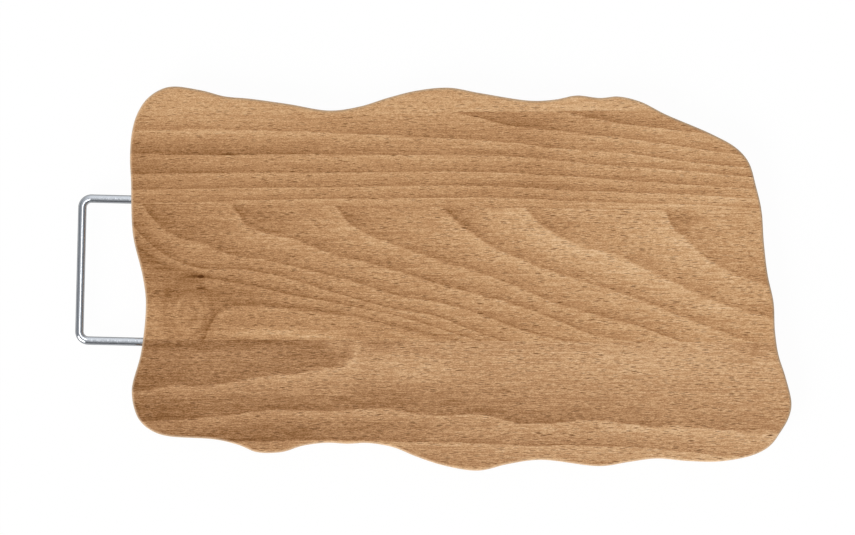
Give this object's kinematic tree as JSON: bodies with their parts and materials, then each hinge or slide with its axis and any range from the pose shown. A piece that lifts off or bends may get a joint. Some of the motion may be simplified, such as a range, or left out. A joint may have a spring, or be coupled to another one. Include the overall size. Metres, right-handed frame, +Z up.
{
  "type": "cutting board",
  "caption": "Flat wooden cutting and serving board glued up from beech staves, with a wavy outline, eased edges and a bent wire carrying handle bonded into one end.",
  "frame": {"origin": "middle of the board's underside, on the surface that the board lies on", "axes": "+X along the grain, away from the handle; +Y across the board to its rear edge; +Z up, out of the cutting face"},
  "size_m": [0.4333, 0.2323, 0.015],
  "materials": {
    "beech": "sanded and oiled, satin",
    "handle_steel": "drawn round wire, bright plated"
  },
  "bodies": {
    "root": {"rear_edge_stave": "beech", "rear_stave": "beech", "middle_stave": "beech", "front_stave": "beech", "wire_handle": "handle_steel"}
  },
  "joints": []
}
